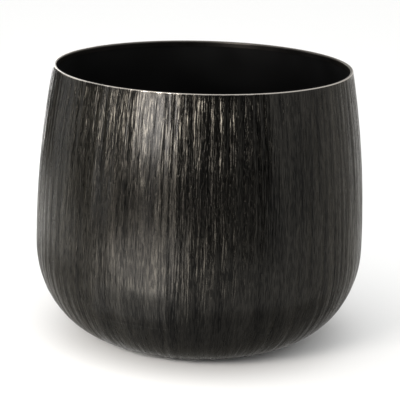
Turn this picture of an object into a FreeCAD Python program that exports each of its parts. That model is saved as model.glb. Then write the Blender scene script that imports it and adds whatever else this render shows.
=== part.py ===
import FreeCAD, Part
import math
import os

# Metal cachepot: a sheet-metal cover for a plant pot, with an open mouth, a belly and a
# rounded foot. The rolled side wall is butt welded down the back. The spun bottom dish has
# a joggled edge that slips inside the wall, and the groove left outside is welded flush.
# A flat ring stiffens the mouth, a waterproof coat lines the inside and pads keep the
# metal off the floor. The floor is z = 0, and the pot's axis is the z axis.

# Driving dimensions, in millimetres
belly_radius = 150.0      # outside, at the widest ring
belly_height = 85.5       # widest ring above the floor
rim_radius = 134.5        # outside, at the top edge of the mouth
rim_height = 250.0        # top edge of the mouth above the floor
foot_radius = 78.5        # edge of the flat land under the pot

wall_sheet = 1.2          # side wall's thickness
seam_gap = 1.5            # butt gap of the rolled wall at the widest ring
dish_sheet = 1.2          # bottom dish's thickness
joint_drop = 35.0         # wall's lower edge below the widest ring
lap_height = 9.0          # dish's tongue inside the wall
joggle_height = 3.0       # height over which the dish's edge steps inwards

ring_sheet = 1.4          # rim ring's thickness
ring_height = 5.0         # rim ring's height

coat_thickness = 0.5      # waterproof coat
seal_slope = 3.0          # run of the coat's seal at the tongue, per unit of thickness

panel_rise = 2.5          # centre of the bottom, pressed up from the land
panel_slope_width = 6.0   # width of the pressed slope

pad_count = 4
pad_diameter = 16.0
pad_height = 1.5
pad_margin = 2.0          # bare land on each side of a pad

# The side's outside line is one arc, upright at the widest ring. Below that ring the
# outside is a quarter ellipse, which ends level at the foot.
side_rise = rim_height - belly_height
side_lean = belly_radius - rim_radius
side_arc = (side_rise ** 2 + side_lean ** 2) / (2 * side_lean)
rim_angle = math.asin(side_rise / side_arc)
bowl_width = belly_radius - foot_radius
bowl_depth = belly_height - pad_height
level = math.pi / 2

origin = FreeCAD.Vector(0, 0, 0)
up = FreeCAD.Vector(0, 0, 1)


def side_point(depth, angle):
    """A point of the upper side, this deep inside the outer face."""
    reach = side_arc - depth
    radius = belly_radius - side_arc + reach * math.cos(angle)
    return FreeCAD.Vector(radius, 0, belly_height + reach * math.sin(angle))


def side_edge(depth, start, end):
    """The upper side's arc between two angles."""
    middle = (start + end) / 2
    points = [side_point(depth, angle) for angle in (start, middle, end)]
    return Part.Arc(*points).toShape()


def below_rim(distance):
    """The side's angle at a distance along the sheet below the top edge."""
    return rim_angle - distance / side_arc


def bowl_point(depth, angle, stretch=1.0):
    """A point of the lower quarter ellipse, this deep inside the outer face."""
    radius = foot_radius + (bowl_width - depth) * stretch * math.cos(angle)
    drop = (bowl_depth - depth) * stretch * math.sin(angle)
    return FreeCAD.Vector(radius, 0, belly_height - drop)


def bowl_edge(depth, start, end):
    """The lower ellipse between two angles, as an exact conic arc."""
    middle = (start + end) / 2
    shoulder = math.cos((end - start) / 2)
    curve = Part.BezierCurve()
    curve.setPoles([
        bowl_point(depth, start),
        bowl_point(depth, middle, 1 / shoulder),
        bowl_point(depth, end),
    ])
    curve.setWeight(2, shoulder)
    return curve.toShape()


def bowl_angle(drop):
    """The lower ellipse's angle where its outer face lies this far below the widest ring."""
    return math.asin(drop / bowl_depth)


def line(start, end):
    return Part.LineSegment(start, end).toShape()


def path(points):
    """Straight edges through a list of points."""
    return [line(start, end) for start, end in zip(points, points[1:])]


def rounded_corner(face_depth, end_depth):
    """The quarter round from a face of the sheet to its top edge."""
    size = abs(end_depth - face_depth)
    share = 1 - math.sqrt(0.5)
    turn_depth = face_depth + (end_depth - face_depth) * share
    start = side_point(face_depth, below_rim(size))
    turn = side_point(turn_depth, below_rim(size * share))
    return Part.Arc(start, turn, side_point(end_depth, rim_angle)).toShape()


def revolved(edges, start=0.0, turn=360.0):
    """The solid that a closed section sweeps about the pot's axis."""
    face = Part.Face(Part.Wire(edges))
    face.rotate(origin, up, start)
    return face.revolve(origin, up, turn)


# Heights of the joint between wall and dish, as angles of the lower ellipse
tongue_angle = bowl_angle(joint_drop - lap_height)
joint_angle = bowl_angle(joint_drop)
joggle_angle = bowl_angle(joint_drop + joggle_height)
ring_angle = below_rim(ring_height)
tongue_face = wall_sheet + dish_sheet
ring_face = wall_sheet + ring_sheet

# Radii of the pressed panel, which leaves a flat land for the pads
panel_foot = foot_radius - pad_diameter - 2 * pad_margin
panel_top = panel_foot - panel_slope_width


def wall_section():
    """The rolled sheet from its lower edge to the mouth, its outer top edge rounded."""
    top_round = wall_sheet / 2
    return [
        bowl_edge(0, joint_angle, 0),
        side_edge(0, 0, below_rim(top_round)),
        rounded_corner(0, top_round),
        line(side_point(top_round, rim_angle), side_point(wall_sheet, rim_angle)),
        side_edge(wall_sheet, rim_angle, 0),
        bowl_edge(wall_sheet, 0, joint_angle),
        line(bowl_point(wall_sheet, joint_angle), bowl_point(0, joint_angle)),
    ]


def ring_section():
    """The flat strip inside the mouth, flush with the wall's top, its inner edge rounded."""
    top_round = ring_sheet / 2
    return [
        side_edge(wall_sheet, ring_angle, rim_angle),
        line(side_point(wall_sheet, rim_angle), side_point(ring_face - top_round, rim_angle)),
        rounded_corner(ring_face, ring_face - top_round),
        side_edge(ring_face, below_rim(top_round), ring_angle),
        line(side_point(ring_face, ring_angle), side_point(wall_sheet, ring_angle)),
    ]


def bottom_points(depth):
    """The bottom's line from the foot to the axis, over the pressed panel."""
    height = pad_height + depth
    return [
        bowl_point(depth, level),
        FreeCAD.Vector(panel_foot, 0, height),
        FreeCAD.Vector(panel_top, 0, height + panel_rise),
        FreeCAD.Vector(0, 0, height + panel_rise),
    ]


def dish_section():
    """The spun dish: tongue, joggle, bend, land and pressed panel."""
    outside = [
        bowl_edge(wall_sheet, tongue_angle, joint_angle),
        line(bowl_point(wall_sheet, joint_angle), bowl_point(0, joggle_angle)),
        bowl_edge(0, joggle_angle, level),
    ]
    under = bottom_points(0)
    over = bottom_points(dish_sheet)
    inside = [
        bowl_edge(dish_sheet, level, joggle_angle),
        line(bowl_point(dish_sheet, joggle_angle), bowl_point(tongue_face, joint_angle)),
        bowl_edge(tongue_face, joint_angle, tongue_angle),
        line(bowl_point(tongue_face, tongue_angle), bowl_point(wall_sheet, tongue_angle)),
    ]
    return outside + path(under + over[::-1]) + inside


def girth_section():
    """The weld that fills the joggle's groove, flush with the outside."""
    root = bowl_point(wall_sheet, joint_angle)
    return [
        bowl_edge(0, joint_angle, joggle_angle),
        line(bowl_point(0, joggle_angle), root),
        line(root, bowl_point(0, joint_angle)),
    ]


def lining(depth):
    """The inside's line from the rim ring to the axis, this far off the metal."""
    wall_depth = wall_sheet + depth
    tongue_depth = tongue_face + depth
    dish_depth = dish_sheet + depth
    seal_angle = bowl_angle(joint_drop - lap_height - seal_slope * depth)
    return [
        side_edge(wall_depth, ring_angle, 0),
        bowl_edge(wall_depth, 0, seal_angle),
        line(bowl_point(wall_depth, seal_angle), bowl_point(tongue_depth, tongue_angle)),
        bowl_edge(tongue_depth, tongue_angle, joint_angle),
        line(bowl_point(tongue_depth, joint_angle), bowl_point(dish_depth, joggle_angle)),
        bowl_edge(dish_depth, joggle_angle, level),
    ] + path(bottom_points(dish_depth))


def coat_section():
    """The waterproof coat between the bare metal's line and its own surface."""
    coat_face = wall_sheet + coat_thickness
    axis_start = bottom_points(dish_sheet)[-1]
    axis_end = bottom_points(dish_sheet + coat_thickness)[-1]
    top = line(side_point(coat_face, ring_angle), side_point(wall_sheet, ring_angle))
    return lining(0) + [line(axis_start, axis_end)] + lining(coat_thickness)[::-1] + [top]


def floor_pad(turn):
    """A round pad stuck under the land, centred between the foot and the panel."""
    reach = (foot_radius + panel_foot) / 2
    place = FreeCAD.Vector(reach * math.cos(turn), reach * math.sin(turn), 0)
    return Part.makeCylinder(pad_diameter / 2, pad_height, place, up)


# The rolled wall's gap is at the back, centred on the +y direction
seam_turn = math.degrees(seam_gap / belly_radius)
seam_start = 90 - seam_turn / 2

pieces = {
    "side_wall": revolved(wall_section(), seam_start + seam_turn, 360 - seam_turn),
    "seam_weld": revolved(wall_section(), seam_start, seam_turn),
    "bottom_dish": revolved(dish_section()),
    "girth_weld": revolved(girth_section()),
    "rim_ring": revolved(ring_section()),
    "inner_coat": revolved(coat_section()),
}
for number in range(pad_count):
    pieces["floor_pad_%d" % (number + 1)] = floor_pad(2 * math.pi * (number + 0.5) / pad_count)

os.makedirs("parts", exist_ok=True)
for node, solid in pieces.items():
    solid.exportStep("parts/%s.step" % node)
    print(node, solid.ShapeType, solid.isValid(), round(solid.Volume, 1))
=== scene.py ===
import math

import bmesh
import bpy
from mathutils import Matrix, Quaternion, Vector, noise


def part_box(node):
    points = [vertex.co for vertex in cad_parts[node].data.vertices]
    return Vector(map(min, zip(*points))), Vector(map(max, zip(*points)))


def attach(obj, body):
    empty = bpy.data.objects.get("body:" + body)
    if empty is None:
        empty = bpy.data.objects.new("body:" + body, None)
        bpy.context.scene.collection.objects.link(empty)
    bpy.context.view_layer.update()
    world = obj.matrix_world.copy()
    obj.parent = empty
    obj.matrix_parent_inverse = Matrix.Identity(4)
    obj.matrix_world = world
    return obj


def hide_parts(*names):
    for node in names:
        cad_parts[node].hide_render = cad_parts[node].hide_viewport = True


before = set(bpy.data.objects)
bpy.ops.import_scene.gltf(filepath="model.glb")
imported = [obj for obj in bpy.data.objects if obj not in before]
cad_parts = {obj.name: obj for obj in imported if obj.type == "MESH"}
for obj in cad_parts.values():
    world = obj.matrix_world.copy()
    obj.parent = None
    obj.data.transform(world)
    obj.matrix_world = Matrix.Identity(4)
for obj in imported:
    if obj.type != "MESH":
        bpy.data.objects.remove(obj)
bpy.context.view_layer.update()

# Side wall
# A steel sheet with an upright chiselled grain, rolled to the upper side and the belly and
# closed by a weld down the back. It is blackened and rubbed back, so that the ridges are a
# little brighter than the grooves, then thinly lacquered. The lip of the mouth is worn bright.
mm = 0.001
belly_radius = 150.0 * mm
belly_height = 85.5 * mm
rim_radius = 134.5 * mm
rim_height = 250.0 * mm
foot_radius = 78.5 * mm
pad_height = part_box("bottom_dish")[0][2]
wall_sheet = 1.2 * mm
joint_drop = 35.0 * mm
seam_gap = 1.5 * mm
sharp_corner = math.radians(40)
merge_gap = 0.001 * mm

side_rise = rim_height - belly_height
side_lean = belly_radius - rim_radius
side_arc = (side_rise ** 2 + side_lean ** 2) / (2 * side_lean)
rim_angle = math.asin(side_rise / side_arc)
bowl_width = belly_radius - foot_radius
bowl_depth = belly_height - pad_height
joint_angle = math.asin(joint_drop / bowl_depth)


def side_point(depth, angle):
    """A point of the upper side, this deep inside the outer face."""
    reach = side_arc - depth
    radius = belly_radius - side_arc + reach * math.cos(angle)
    return Vector((radius, 0, belly_height + reach * math.sin(angle)))


def bowl_point(depth, angle):
    """A point of the lower quarter ellipse, this deep inside the outer face."""
    radius = foot_radius + (bowl_width - depth) * math.cos(angle)
    return Vector((radius, 0, belly_height - (bowl_depth - depth) * math.sin(angle)))


def below_rim(distance):
    """The side's angle at a distance along the sheet below the top edge."""
    return rim_angle - distance / side_arc


def steps(start, end, count):
    """Evenly spaced values from start to end, both included."""
    return [start + (end - start) * i / count for i in range(count + 1)]


def lip(face_depth, end_depth, count=4):
    """The quarter round from a face of the sheet to its top edge."""
    size = abs(end_depth - face_depth)
    points = []
    for turn in steps(0, math.pi / 2, count):
        depth = face_depth + (end_depth - face_depth) * (1 - math.cos(turn))
        points.append(side_point(depth, below_rim(size * (1 - math.sin(turn)))))
    return points


def outward(place):
    """The way out of the smooth outer face at a point on it."""
    x, y, z = place
    radius = math.hypot(x, y)
    if z > belly_height:
        lean = math.asin((z - belly_height) / side_arc)
        out, rise = math.cos(lean), math.sin(lean)
    else:
        out = (radius - foot_radius) / bowl_width ** 2
        rise = (z - belly_height) / bowl_depth ** 2
    return Vector((out * x / radius, out * y / radius, rise)).normalized()


def unrolled(place):
    """Where a point lies on the outer face laid flat: round the belly's circle, and along the sheet."""
    radius = max(math.hypot(place.x, place.y), foot_radius)
    along = place.z
    if place.z < belly_height:
        bend = math.atan2((belly_height - place.z) / bowl_depth, (radius - foot_radius) / bowl_width)
        along = belly_height - (bowl_width + bowl_depth) / 2 * bend
    return Vector((place.x * belly_radius / radius, place.y * belly_radius / radius, along))


# The grain's sizes are in millimetres: chisel strokes, the wider bands that they lie in, and the
# slow sway of both. The shift takes the strokes from another place in the noise than the bands.
band_width = 5.3
band_length = 110
band_depth = 0.3
stroke_width = 1.2
stroke_length = 18
stroke_depth = 0.1
stroke_shift = 40
sway_width = 25
sway_length = 60
sway_reach = 0.8


def grain_relief(flat):
    """Height of the chiselled grain in metres: strokes over long bands, all upright."""
    x, y, along = flat / mm
    arc = Vector((x, y, 0))
    sway = sway_reach * noise.noise(arc / sway_width + Vector((0, 0, along / sway_length)))
    arc += sway * Vector((-y, x, 0)).normalized()
    bands = noise.noise(arc / band_width + Vector((0, 0, along / band_length)))
    strokes = noise.noise(arc / stroke_width + Vector((0, stroke_shift, along / stroke_length)))
    return (band_depth * bands + stroke_depth * strokes) * mm


# The ridge value is a half on the smooth face, and changes by a half over this height.
smooth_ridge = 0.5
ridge_height = 0.5 * mm
sector_columns = 50


def turned(name, outline, columns, start=0.0, turn=math.tau):
    """A closed section turned about the pot's axis, a sector first and then copies of it. Each
    point of the outline has a share of the grain's height and a share of wear that rubs it bright."""
    bm = bmesh.new()
    grain = bm.verts.layers.float.new("grain")
    ridge = bm.verts.layers.float.new("ridge")
    wear = bm.verts.layers.float.new("wear")
    flat = bm.verts.layers.float_vector.new("flat")
    ring = []
    for place, carved, worn in outline:
        vert = bm.verts.new(place)
        vert[grain] = carved
        vert[wear] = worn
        ring.append(vert)
    pairs = zip(ring, ring[1:] + ring[:1])
    edges = [bm.edges.new(pair) for pair in pairs if pair[0].co.x > 0 or pair[1].co.x > 0]
    bmesh.ops.rotate(bm, verts=ring, cent=(0, 0, 0), matrix=Matrix.Rotation(start, 3, "Z"))
    sectors = max(1, columns // sector_columns)
    sector = turn / sectors
    bmesh.ops.spin(bm, geom=ring + edges, cent=(0, 0, 0), axis=(0, 0, 1), angle=sector,
                   steps=columns // sectors)
    if sectors > 1:
        bmesh.ops.spin(bm, geom=bm.verts[:] + bm.edges[:] + bm.faces[:], cent=(0, 0, 0),
                       axis=(0, 0, 1), angle=turn - sector, steps=sectors - 1, use_duplicate=True)
    bmesh.ops.remove_doubles(bm, verts=bm.verts, dist=merge_gap)
    bmesh.ops.holes_fill(bm, edges=[edge for edge in bm.edges if edge.is_boundary])
    bmesh.ops.recalc_face_normals(bm, faces=bm.faces)
    for edge in bm.edges:
        edge.smooth = edge.calc_face_angle() < sharp_corner
    for face in bm.faces:
        face.smooth = True
    for vert in bm.verts:
        vert[flat] = unrolled(vert.co)
        vert[ridge] = smooth_ridge
        if vert[grain] > 0:
            height = grain_relief(vert[flat]) * vert[grain]
            vert[ridge] += smooth_ridge * height / ridge_height
            vert.co += outward(vert.co) * height
    mesh = bpy.data.meshes.new(name)
    bm.to_mesh(mesh)
    bm.free()
    piece = bpy.data.objects.new(name, mesh)
    bpy.context.collection.objects.link(piece)
    return piece


lip_clear = 1.0 * mm
lip_fade = 5.0 * mm
lip_grain = 0.1


def wall_outline():
    """The sheet's section from its lower edge, up the outside, over the lip and down the inside."""
    top_round = wall_sheet / 2
    outline = []
    for angle in steps(joint_angle, 0, count=9)[:-1]:
        outline.append((bowl_point(0, angle), 1.0, 0.0))
    for angle in steps(0, below_rim(lip_clear), count=34):
        left = (rim_angle - angle) * side_arc
        outline.append((side_point(0, angle), min(1.0, lip_grain + left / lip_fade), 0.0))
    for place in lip(0, top_round):
        outline.append((place, lip_grain, 1.0))
    for angle in steps(rim_angle, 0, count=3)[:-1]:
        outline.append((side_point(wall_sheet, angle), 0.0, 0.0))
    for angle in steps(0, joint_angle, count=2):
        outline.append((bowl_point(wall_sheet, angle), 0.0, 0.0))
    return outline


def linear(hex_colour):
    """An sRGB hex colour as the linear values that a shader takes."""
    values = [int(hex_colour[i:i + 2], 16) / 255 for i in (1, 3, 5)]
    return [v / 12.92 if v <= 0.04045 else ((v + 0.055) / 1.055) ** 2.4 for v in values] + [1.0]


def add(tree, kind, sockets=None, **settings):
    """Adds a node, sets its options, and sets or links its inputs."""
    node = tree.nodes.new(kind)
    for option, value in settings.items():
        setattr(node, option, value)
    for socket, value in (sockets or {}).items():
        if isinstance(value, bpy.types.NodeSocket):
            tree.links.new(value, node.inputs[socket])
        else:
            node.inputs[socket].default_value = value
    return node


def new_material(name):
    """An empty node material and its shader, joined to the output."""
    material = bpy.data.materials.new(name)
    material.use_nodes = True
    tree = material.node_tree
    tree.nodes.clear()
    shader = add(tree, "ShaderNodeBsdfPrincipled")
    add(tree, "ShaderNodeOutputMaterial", {"Surface": shader.outputs["BSDF"]})
    return material, tree, shader


# Rubbing leaves upright fibres on the grain. They are drawn coarser than real ones, so that they
# show in the render, and the bump deepens the grain's shading for the same reason.
fibre_width = 0.85 * mm
fibre_length = 8.0 * mm
fibre_depth = 0.1 * mm
ridge_deepening = 24
ridge_share = 3.6
groove_end = 0.9
ridge_end = 3.7
patina_size = 28.0 * mm
gloss_spread = 0.05
worn_lip = "#b8b2aa"


def blackened_steel(name, groove, ridge, roughness):
    """Blackened steel, rubbed back and lacquered: black in the grooves, a warm dark grey on the
    ridges and fibres, with a gloss that the rubbing draws out up and down."""
    material, tree, shader = new_material(name)
    flat = add(tree, "ShaderNodeAttribute", attribute_name="flat")
    carved = add(tree, "ShaderNodeAttribute", attribute_name="grain")
    height = add(tree, "ShaderNodeAttribute", attribute_name="ridge")
    worn = add(tree, "ShaderNodeAttribute", attribute_name="wear")
    patina = add(tree, "ShaderNodeTexNoise",
                 {"Vector": flat.outputs["Vector"], "Scale": 1 / patina_size, "Detail": 3.0})
    upright = add(tree, "ShaderNodeMapping",
                  {"Vector": flat.outputs["Vector"],
                   "Scale": (1 / fibre_width, 1 / fibre_width, 1 / fibre_length)})
    scratch = add(tree, "ShaderNodeTexNoise",
                  {"Vector": upright.outputs["Vector"], "Scale": 1.0, "Detail": 0.0})
    line = add(tree, "ShaderNodeMapRange",
               {"Value": scratch.outputs["Fac"], "From Min": 0.42, "From Max": 0.58},
               interpolation_type="SMOOTHSTEP")
    fibre = add(tree, "ShaderNodeMix",
                {"Factor": carved.outputs["Fac"], "A": 0.5, "B": line.outputs["Result"]},
                data_type="FLOAT")
    rubbed = add(tree, "ShaderNodeMath",
                 {0: height.outputs["Fac"], 1: ridge_share, 2: fibre.outputs["Result"]},
                 operation="MULTIPLY_ADD")
    share = add(tree, "ShaderNodeMapRange",
                {"Value": rubbed.outputs["Value"], "From Min": groove_end, "From Max": ridge_end})
    metal = add(tree, "ShaderNodeMix",
                {"Factor": share.outputs["Result"], "A": linear(groove), "B": linear(ridge)},
                data_type="RGBA")
    cloud = add(tree, "ShaderNodeMapRange",
                {"Value": patina.outputs["Fac"], "From Min": 0.3, "From Max": 0.7,
                 "To Min": 0.82, "To Max": 1.12})
    toned = add(tree, "ShaderNodeVectorMath",
                {0: metal.outputs["Result"], "Scale": cloud.outputs["Result"]}, operation="SCALE")
    edge = add(tree, "ShaderNodeMix",
               {"Factor": worn.outputs["Fac"], "A": toned.outputs["Vector"], "B": linear(worn_lip)},
               data_type="RGBA")
    rough = add(tree, "ShaderNodeMapRange",
                {"Value": scratch.outputs["Fac"], "From Min": 0.3, "From Max": 0.7,
                 "To Min": roughness + gloss_spread, "To Max": roughness - gloss_spread})
    relief = add(tree, "ShaderNodeMath",
                 {0: height.outputs["Fac"], 1: ridge_deepening, 2: fibre.outputs["Result"]},
                 operation="MULTIPLY_ADD")
    bump = add(tree, "ShaderNodeBump",
               {"Height": relief.outputs["Value"], "Strength": 1.0, "Distance": fibre_depth})
    shader.inputs["Metallic"].default_value = 1.0
    shader.inputs["Specular Tint"].default_value = linear("#c4c2be")
    shader.inputs["Anisotropic"].default_value = 0.65
    shader.inputs["Anisotropic Rotation"].default_value = 0.25
    shader.inputs["Coat Weight"].default_value = 0.17
    shader.inputs["Coat Roughness"].default_value = 0.2
    tree.links.new(edge.outputs["Result"], shader.inputs["Base Color"])
    tree.links.new(rough.outputs["Result"], shader.inputs["Roughness"])
    tree.links.new(bump.outputs["Normal"], shader.inputs["Normal"])
    return material


grained_steel = blackened_steel("blackened_grained_steel", groove="#040404", ridge="#33312d",
                                roughness=0.25)
columns = 1800
seam_turn = seam_gap / belly_radius
seam_start = math.pi / 2 - seam_turn / 2
side_wall = turned("grained_side_wall", wall_outline(), columns,
                   seam_start + seam_turn, math.tau - seam_turn)
side_wall.data.materials.append(grained_steel)
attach(side_wall, "root")
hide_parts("side_wall")

# Seam weld
# The butt weld that closes the rolled wall at the back. It is ground flush and the grain is
# chased across it, a little shallower than on the sheet.
seam_grain = 0.7
seam_columns = 3
seam_outline = [(place, seam_grain * carved, worn) for place, carved, worn in wall_outline()]
seam_weld = turned("dressed_seam_weld", seam_outline, seam_columns, seam_start, seam_turn)
seam_weld.data.materials.append(grained_steel)
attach(seam_weld, "root")
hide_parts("seam_weld")

# Bottom dish
# A spun steel dish with the round bend, a flat land and a pressed-up centre. Its joggled edge
# slips inside the wall. The grain runs on over the bend and dies out towards the foot.
dish_sheet = 1.2 * mm
lap_height = 9.0 * mm
joggle_height = 3.0 * mm
panel_foot = 58.5 * mm
panel_top = 52.5 * mm
panel_rise = 2.5 * mm
panel_corner = 0.8 * mm
tongue_angle = math.asin((joint_drop - lap_height) / bowl_depth)
joggle_angle = math.asin((joint_drop + joggle_height) / bowl_depth)
tongue_face = wall_sheet + dish_sheet
level = math.pi / 2
foot_grain = 0.05
grain_growth = 1.15


def fading_grain(angle):
    """The share of the grain on the bend, full at the joint and nearly gone at the foot."""
    left = (level - angle) / (level - joint_angle)
    return min(1.0, foot_grain + grain_growth * left)


def bottom_points(depth):
    """The bottom's line from the foot to the axis, over the pressed panel with its soft corners."""
    height = pad_height + depth
    run = panel_foot - panel_top
    places = [(panel_foot + panel_corner, 0)]
    for fall in (run - panel_corner, panel_corner):
        places.append((panel_top + fall, panel_rise * (1 - fall / run)))
    places += [(panel_top - panel_corner, panel_rise), (0.0, panel_rise)]
    return [Vector((radius, 0, height + rise)) for radius, rise in places]


dish_outline = []
for angle in steps(tongue_angle, joint_angle, count=1):
    dish_outline.append((bowl_point(wall_sheet, angle), 0.0, 0.0))
for angle in steps(joggle_angle, level, count=26):
    dish_outline.append((bowl_point(0, angle), fading_grain(angle), 0.0))
for place in bottom_points(0) + bottom_points(dish_sheet)[::-1]:
    dish_outline.append((place, 0.0, 0.0))
for angle in steps(level, joggle_angle, count=8):
    dish_outline.append((bowl_point(dish_sheet, angle), 0.0, 0.0))
for angle in steps(joint_angle, tongue_angle, count=1):
    dish_outline.append((bowl_point(tongue_face, angle), 0.0, 0.0))
bottom_dish = turned("spun_bottom_dish", dish_outline, columns)
bottom_dish.data.materials.append(grained_steel)
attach(bottom_dish, "root")
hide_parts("bottom_dish")

# Girth weld
# The weld that fills the groove outside, where the wall sits on the dish's joggle. It is
# ground flush, and the grain is chased over it so that the joint can't be seen.
girth_outline = []
for angle in steps(joint_angle, joggle_angle, count=2):
    girth_outline.append((bowl_point(0, angle), 1.0, 0.0))
girth_outline.append((bowl_point(wall_sheet, joint_angle), 0.0, 0.0))
girth_weld = turned("dressed_girth_weld", girth_outline, columns)
girth_weld.data.materials.append(grained_steel)
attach(girth_weld, "root")
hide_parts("girth_weld")

# Rim ring
# A flat steel strip rolled to the mouth and brazed inside it, flush with the top edge. Its
# inner corner is rounded off, and it is blackened with the rest.
ring_sheet = 1.4 * mm
ring_height = 5.0 * mm
ring_face = wall_sheet + ring_sheet
ring_round = ring_sheet / 2
ring_wear = 0.15
smooth_columns = 480
ring_outline = []
for distance in steps(ring_height, 0, count=4):
    ring_outline.append((side_point(wall_sheet, below_rim(distance)), 0.0, 0.0))
for place in lip(ring_face, ring_face - ring_round)[::-1]:
    ring_outline.append((place, 0.0, ring_wear))
for distance in steps(ring_round, ring_height, count=4)[1:]:
    ring_outline.append((side_point(ring_face, below_rim(distance)), 0.0, 0.0))
rim_ring = turned("rolled_rim_ring", ring_outline, smooth_columns)
strip_steel = blackened_steel("blackened_strip_steel", groove="#302e2c", ridge="#403d3a",
                              roughness=0.4)
rim_ring.data.materials.append(strip_steel)
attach(rim_ring, "root")
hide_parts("rim_ring")

# Inner coat
# A sprayed black waterproof coat that covers the wall, the weld and the dish inside, from under
# the rim ring down. It dries satin with a fine orange peel.
peel_size = 2.2 * mm
peel_depth = 0.08 * mm
spray_cloud = 40.0 * mm
coat_black, tree, shader = new_material("satin_waterproof_coat")
place = add(tree, "ShaderNodeTexCoord")
peel = add(tree, "ShaderNodeTexNoise",
           {"Vector": place.outputs["Object"], "Scale": 1 / peel_size, "Detail": 2.0})
cloud = add(tree, "ShaderNodeTexNoise",
            {"Vector": place.outputs["Object"], "Scale": 1 / spray_cloud, "Detail": 3.0})
tone = add(tree, "ShaderNodeMix",
           {"Factor": cloud.outputs["Fac"], "A": linear("#070707"), "B": linear("#0d0d0d")},
           data_type="RGBA")
rough = add(tree, "ShaderNodeMapRange",
            {"Value": cloud.outputs["Fac"], "From Min": 0.3, "From Max": 0.7,
             "To Min": 0.4, "To Max": 0.52})
bump = add(tree, "ShaderNodeBump",
           {"Height": peel.outputs["Fac"], "Strength": 0.3, "Distance": peel_depth})
shader.inputs["Specular IOR Level"].default_value = 0.25
tree.links.new(tone.outputs["Result"], shader.inputs["Base Color"])
tree.links.new(rough.outputs["Result"], shader.inputs["Roughness"])
tree.links.new(bump.outputs["Normal"], shader.inputs["Normal"])

coat_thickness = 0.5 * mm
seal_run = 1.5 * mm
ring_angle = below_rim(ring_height)
seal_angle = math.asin((joint_drop - lap_height - seal_run) / bowl_depth)


def lining(depth, seal):
    """The inside's line from the rim ring to the axis, this far off the metal."""
    places = [side_point(wall_sheet + depth, angle) for angle in steps(ring_angle, 0, count=24)[:-1]]
    places += [bowl_point(wall_sheet + depth, angle) for angle in steps(0, seal, count=5)]
    for angle in steps(tongue_angle, joint_angle, count=4):
        places.append(bowl_point(tongue_face + depth, angle))
    for angle in steps(joggle_angle, level, count=24):
        places.append(bowl_point(dish_sheet + depth, angle))
    return places + bottom_points(dish_sheet + depth)


coat_line = lining(0, tongue_angle) + lining(coat_thickness, seal_angle)[::-1]
coat_outline = [(place, 0.0, 0.0) for place in coat_line]
inner_coat = turned("sprayed_inner_coat", coat_outline, smooth_columns)
inner_coat.data.materials.append(coat_black)
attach(inner_coat, "root")
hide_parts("inner_coat")

# Floor pads
# Round rubber pads, moulded with a soft edge and stuck under the flat land, so that the steel
# doesn't scratch the floor. The rubber is dull and nearly black, with a fine grit.
grit_size = 0.8 * mm
grit_depth = 0.1 * mm
pad_edge = 0.4 * mm
pad_rubber, tree, shader = new_material("moulded_pad_rubber")
place = add(tree, "ShaderNodeTexCoord")
grit = add(tree, "ShaderNodeTexNoise",
           {"Vector": place.outputs["Object"], "Scale": 1 / grit_size, "Detail": 2.0})
tone = add(tree, "ShaderNodeMix",
           {"Factor": grit.outputs["Fac"], "A": linear("#1b1b1b"), "B": linear("#2b2b2a")},
           data_type="RGBA")
bump = add(tree, "ShaderNodeBump",
           {"Height": grit.outputs["Fac"], "Strength": 0.4, "Distance": grit_depth})
shader.inputs["Roughness"].default_value = 0.85
tree.links.new(tone.outputs["Result"], shader.inputs["Base Color"])
tree.links.new(bump.outputs["Normal"], shader.inputs["Normal"])

for number in range(1, 5):
    node = "floor_pad_%d" % number
    low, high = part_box(node)
    centre = (Vector(low) + Vector(high)) / 2
    pad_radius = (high[0] - low[0]) / 2
    bm = bmesh.new()
    bmesh.ops.create_cone(bm, cap_ends=True, segments=48, radius1=pad_radius, radius2=pad_radius,
                          depth=high[2] - low[2], matrix=Matrix.Translation(centre))
    edges = [edge for edge in bm.edges if edge.calc_face_angle() > sharp_corner]
    bmesh.ops.bevel(bm, geom=edges, offset=pad_edge, segments=3, profile=0.5, affect="EDGES",
                    material=-1)
    mesh = bpy.data.meshes.new("rubber_" + node)
    bm.to_mesh(mesh)
    bm.free()
    pad = bpy.data.objects.new("rubber_" + node, mesh)
    bpy.context.collection.objects.link(pad)
    pad.data.materials.append(pad_rubber)
    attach(pad, "root")
    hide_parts(node)

# Studio
# A pale floor under white surroundings, a large soft lamp above, a strip lamp at the left that
# draws the highlight, and a low one on the floor under it. Panels stand round the pot and cards
# lie on the floor. They glow by themselves, dark or bright, though they are no lamps, and only the
# metal mirrors them, so they paint reflections into it.
floor_radius = 4.0
bm = bmesh.new()
bmesh.ops.create_circle(bm, cap_ends=True, segments=96, radius=floor_radius)
mesh = bpy.data.meshes.new("pale_floor")
bm.to_mesh(mesh)
bm.free()
floor = bpy.data.objects.new("pale_floor", mesh)
bpy.context.collection.objects.link(floor)
floor_white, tree, shader = new_material("pale_floor_paint")
shader.inputs["Base Color"].default_value = linear("#fafaf9")
shader.inputs["Roughness"].default_value = 0.8
shader.inputs["Specular IOR Level"].default_value = 0.2
floor.data.materials.append(floor_white)

world = bpy.data.worlds.new("white_surroundings")
bpy.context.scene.world = world
world.use_nodes = True
tree = world.node_tree
tree.nodes.clear()
backdrop = add(tree, "ShaderNodeBackground", {"Color": linear("#ffffff"), "Strength": 1.0})
add(tree, "ShaderNodeOutputWorld", {"Surface": backdrop.outputs["Background"]})


def around(azimuth, distance, height):
    """A place at an angle in degrees from the viewer's side, counted towards the right."""
    turn = math.radians(azimuth)
    return Vector((distance * math.sin(turn), -distance * math.cos(turn), height))


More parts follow.
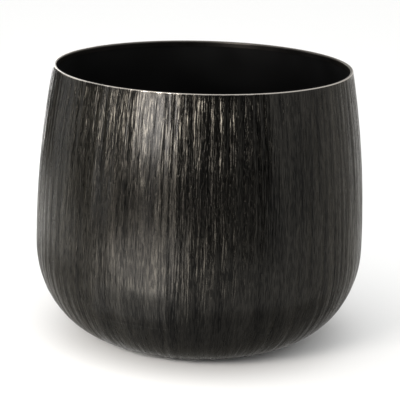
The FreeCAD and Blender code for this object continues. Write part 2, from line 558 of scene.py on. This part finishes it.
def soft_lamp(name, place, aim, width, height, radiance, colour):
    """A soft box of a given size and brightness that faces a point."""
    lamp = bpy.data.lights.new(name, "AREA")
    lamp.shape = "RECTANGLE"
    lamp.size = width
    lamp.size_y = height
    lamp.energy = radiance * math.pi * width * height
    lamp.color = linear(colour)[:3]
    box = bpy.data.objects.new(name, lamp)
    box.location = place
    box.rotation_euler = (Vector(aim) - place).to_track_quat("-Z", "Y").to_euler()
    box.visible_camera = False
    bpy.context.collection.objects.link(box)


soft_lamp("top_lamp", Vector((0, 0, 1.8)), (0, 0, 0),
          width=1.6, height=1.6, radiance=0.7, colour="#ffffff")
soft_lamp("strip_lamp", around(-31, 0.6, 0.275), around(-31, 0.14, 0.2),
          width=0.22, height=0.14, radiance=31, colour="#fffaf5")
soft_lamp("low_fill", around(-30, 0.6, 0.005), around(-30, 0.6, 1.0),
          width=0.4, height=0.5, radiance=5.3, colour="#fffaf5")
panel_height = 0.6
panel_distance = 0.85
wall_distance = 0.86
card_lift = 0.002


def reflector(name, ends, turn, brightness):
    """A sheet that glows by itself though it is no lamp, and that only the metal mirrors, so it
    paints a reflection into it: a straight edge swept round the pot.
    """
    bm = bmesh.new()
    verts = [bm.verts.new(place) for place in ends]
    bmesh.ops.spin(bm, geom=verts + [bm.edges.new(verts)], cent=(0, 0, 0), axis=(0, 0, 1),
                   angle=math.radians(turn), steps=24)
    mesh = bpy.data.meshes.new(name)
    bm.to_mesh(mesh)
    bm.free()
    sheet = bpy.data.objects.new(name, mesh)
    bpy.context.collection.objects.link(sheet)
    glow_paint, tree, shader = new_material(name + "_paper")
    shader.inputs["Base Color"].default_value = linear("#000000")
    shader.inputs["Emission Color"].default_value = linear("#ffffff")
    shader.inputs["Emission Strength"].default_value = brightness
    sheet.data.materials.append(glow_paint)
    sheet.visible_camera = False
    sheet.visible_diffuse = False
    sheet.visible_shadow = False


def panel(name, start, end, distance, brightness):
    """A panel that stands on the floor between two angles, this far from the pot's axis."""
    ends = [around(start, distance, height) for height in (0, panel_height)]
    reflector(name, ends, end - start, brightness)


def card(name, start, end, near, far, brightness):
    """A card that lies on the floor between two angles and two distances from the pot's axis."""
    ends = [around(start, distance, card_lift) for distance in (near, far)]
    reflector(name, ends, end - start, brightness)


# These panels and cards glow by themselves: the dark ones paint dark reflections into the metal, the
# bright ones painted highlights.
panel("dark_panel", -150, 44, wall_distance, 0.05)
panel("white_panel_1", -122, -94, panel_distance, 2.0)
panel("white_panel_2", -69, -63, panel_distance, 4.6)
panel("white_panel_3", -35, -28, panel_distance, 1.0)
panel("white_panel_4", -1, 2, panel_distance, 0.8)
panel("white_panel_5", 25, 28, panel_distance, 0.8)
panel("right_panel", 95, 160, wall_distance, 1.1)
panel("back_panel", -172, -146, wall_distance, 4.0)
card("dark_card", -80, 44, 0.6, 0.84, 0.05)
card("left_card", -130, -80, 0.4, 0.84, 2.2)
card("patch_card_1", -55, -12, 0.27, 0.36, 2.8)
card("patch_card_2", -55, -12, 0.18, 0.27, 1.8)
card("front_card", -12, 85, 0.22, 0.6, 0.95)
card("foot_card_1", -55, -24, 0.1, 0.18, 0.9)
card("foot_card_2", -24, -12, 0.1, 0.18, 0.75)
card("foot_card_3", -12, 8, 0.1, 0.22, 0.62)
card("foot_card_4", 8, 85, 0.1, 0.22, 0.5)

# Camera
# It is fitted to the pot's outline in the photograph, with the same small tilt.
image_width = 400
focal_pixels = 1518.6
camera_distance = 1.4
camera_elevation = math.radians(15.0)
pivot = Vector((0, 0, 0.1315))
aim_height = 0.1236
camera_roll = math.radians(1.478)
camera = bpy.data.cameras.new("camera")
camera.sensor_width = 36.0
camera.lens = focal_pixels / image_width * camera.sensor_width
viewer = bpy.data.objects.new("camera", camera)
outlook = Vector((0, -math.cos(camera_elevation), math.sin(camera_elevation)))
viewer.location = pivot + camera_distance * outlook
sight = (Vector((0, 0, aim_height)) - viewer.location).to_track_quat("-Z", "Y")
viewer.rotation_mode = "QUATERNION"
viewer.rotation_quaternion = sight @ Quaternion((0, 0, 1), camera_roll)
bpy.context.collection.objects.link(viewer)
bpy.context.scene.camera = viewer
bpy.context.scene.view_settings.view_transform = "Standard"
